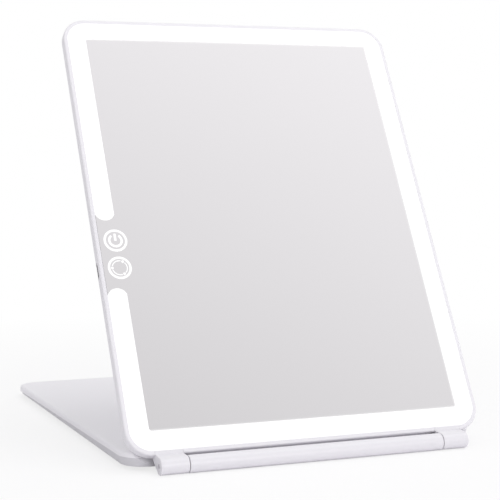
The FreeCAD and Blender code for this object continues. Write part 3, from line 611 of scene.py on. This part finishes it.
def grey_card(size, dark, light):
    """Card that runs from grey to white along its length."""
    material, recipe = new_material("grey_card")
    along = recipe.add("ShaderNodeSeparateXYZ", {}, {0: recipe.place()}, output="Y")
    share = recipe.clamp(along * (1.0 / size) + 0.5)
    colour = recipe.blend(share, solid((dark, dark, dark)), solid((light, light, light)))
    recipe.finish(recipe.add("ShaderNodeEmission", {}, {"Color": colour, "Strength": 1.0}))
    return material


class MIRROR_OT_set_studio(bpy.types.Operator):
    """Sets the floor, the sky, the lamps, the card that the glass reflects and the camera"""

    bl_idname = "mirror.set_studio"
    bl_label = "Set studio"

    def execute(self, context):
        studio = context.scene.mirror_studio
        context.scene.view_settings.view_transform = "Standard"
        self.add_floor(studio)
        self.add_card(studio)
        self.add_sky(context, studio)
        self.add_lamp(context, "key_lamp", KEY_PLACE, KEY_SIZE, studio.key_power)
        self.add_lamp(context, "fill_lamp", FILL_PLACE, FILL_SIZE, studio.fill_power)
        self.add_camera(context, studio)
        return {"FINISHED"}

    def add_floor(self, studio):
        low = CAD_BOX[0].z - FLOOR_DROP
        paper = floor_paper(studio.floor_white, studio.floor_shadow)
        stage_plane("floor", FLOOR_SIZE, FLOOR_SIZE, Matrix.Translation((0.0, 0.0, low)), paper)

    def add_card(self, studio):
        """Hangs the card where the glass looks when it is seen from the camera."""
        low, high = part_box("mirror_glass")
        centre = (low + high) / 2
        facing = Matrix.Rotation(math.radians(PANEL_LEAN), 3, "X") @ Vector((0.0, 0.0, 1.0))
        looking = (centre - Vector(studio.camera_place)).normalized()
        bounced = looking.reflect(facing)
        turn = bounced.to_track_quat("Z", "Y").to_matrix().to_4x4()
        spin = Matrix.Rotation(studio.card_spin, 4, "Z")
        paint = grey_card(studio.card_size, studio.card_dark, studio.card_light)
        place = Matrix.Translation(centre + bounced * CARD_DISTANCE) @ turn @ spin
        card = stage_plane("card", studio.card_size, studio.card_size, place, paint)
        card.visible_camera = False
        card.visible_diffuse = False
        card.visible_shadow = False

    def add_sky(self, context, studio):
        world = bpy.data.worlds.new("sky")
        world.use_nodes = True
        context.scene.world = world
        recipe = Recipe(world.node_tree)
        camera = recipe.add("ShaderNodeLightPath", output="Is Camera Ray")
        glossy = recipe.add("ShaderNodeLightPath", output="Is Glossy Ray")
        clear = recipe.add("ShaderNodeLightPath", output="Is Transmission Ray")
        seen = recipe.clamp(camera + glossy + clear)
        strength = studio.sky_level + seen * (1.0 - studio.sky_level)
        sky = recipe.add("ShaderNodeBackground", {}, {"Color": solid((1.0, 1.0, 1.0)), "Strength": strength})
        recipe.finish(sky, "ShaderNodeOutputWorld")

    def add_lamp(self, context, name, place, size, power):
        """A round lamp that looks at the middle of the mirror."""
        lamp = bpy.data.lights.new(name, "AREA")
        lamp.shape = "DISK"
        lamp.size = size
        lamp.energy = power
        holder = bpy.data.objects.new(name, lamp)
        context.scene.collection.objects.link(holder)
        holder.location = place
        aim = (CAD_BOX[0] + CAD_BOX[1]) / 2 - place
        holder.rotation_mode = "QUATERNION"
        holder.rotation_quaternion = aim.to_track_quat("-Z", "Y")

    def add_camera(self, context, studio):
        lens = bpy.data.cameras.new("camera")
        lens.lens = studio.lens
        lens.sensor_width = SENSOR_WIDTH
        camera = bpy.data.objects.new("camera", lens)
        context.scene.collection.objects.link(camera)
        turn = Matrix.Rotation(-studio.camera_turn, 4, "Z")
        dip = Matrix.Rotation(math.radians(90.0) - studio.camera_dip, 4, "X")
        roll = Matrix.Rotation(studio.camera_roll, 4, "Z")
        camera.matrix_world = Matrix.Translation(studio.camera_place) @ turn @ dip @ roll
        context.scene.camera = camera


OPERATORS = (
    MIRROR_OT_finish_shells,
    MIRROR_OT_finish_hinge,
    MIRROR_OT_finish_glass,
    MIRROR_OT_finish_light_band,
    MIRROR_OT_finish_marks,
    MIRROR_OT_finish_inside,
    MIRROR_OT_add_socket_contacts,
    MIRROR_OT_set_studio,
)


class MIRROR_PT_sidebar(bpy.types.Panel):
    """Steps that finish the mirror, in order"""

    bl_idname = "MIRROR_PT_sidebar"
    bl_label = "Lighted mirror"
    bl_space_type = "VIEW_3D"
    bl_region_type = "UI"
    bl_category = "Mirror"

    def draw(self, context):
        for step in OPERATORS:
            self.layout.operator(step.bl_idname)


CLASSES = (MirrorFinish, MirrorFittings, MirrorStudio, *OPERATORS, MIRROR_PT_sidebar)
GROUPS = {"mirror_finish": MirrorFinish, "mirror_fittings": MirrorFittings, "mirror_studio": MirrorStudio}


def register():
    for cls in CLASSES:
        bpy.utils.register_class(cls)
    for name, group in GROUPS.items():
        setattr(bpy.types.Scene, name, PointerProperty(type=group))


def unregister():
    for name in GROUPS:
        delattr(bpy.types.Scene, name)
    for cls in reversed(CLASSES):
        bpy.utils.unregister_class(cls)


def main():
    register()
    bpy.ops.mirror.finish_shells()
    bpy.ops.mirror.finish_hinge()
    bpy.ops.mirror.finish_glass()
    bpy.ops.mirror.finish_light_band()
    bpy.ops.mirror.finish_marks()
    bpy.ops.mirror.finish_inside()
    bpy.ops.mirror.add_socket_contacts()
    bpy.ops.mirror.set_studio()


if __name__ == "__main__":
    main()
